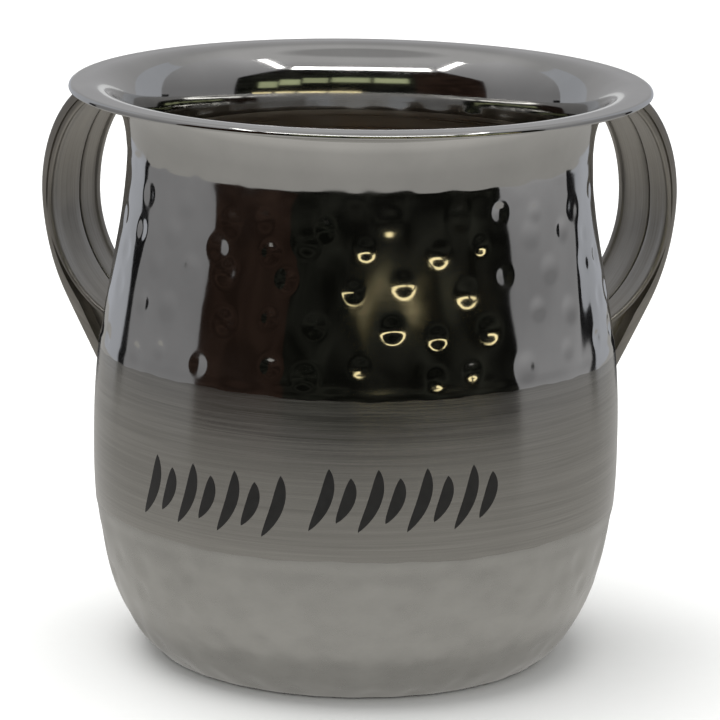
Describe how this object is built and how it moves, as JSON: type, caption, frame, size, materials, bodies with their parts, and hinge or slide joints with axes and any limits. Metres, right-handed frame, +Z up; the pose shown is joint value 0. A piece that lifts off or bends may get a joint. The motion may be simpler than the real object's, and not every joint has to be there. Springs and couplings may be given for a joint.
{
  "type": "ritual washing cup",
  "caption": "Hammered stainless steel cup for ritual hand washing: rounded body, brushed band, wide flared lip and strap handles at the sides",
  "frame": {"origin": "the centre of the flat base, on the cup's axis, at the surface that the cup stands on", "axes": "+Z up along the cup's axis, front at -Y, +X to the side of the handle on the right as seen from the front"},
  "size_m": [0.149, 0.1308, 0.13],
  "materials": {
    "cup_body": "polished and hammered above, brushed in the band, satin and hammered below",
    "handles": "satin"
  },
  "bodies": {
    "root": {"cup_body": "cup_body", "handle_left": "handles", "handle_right": "handles"}
  },
  "joints": []
}
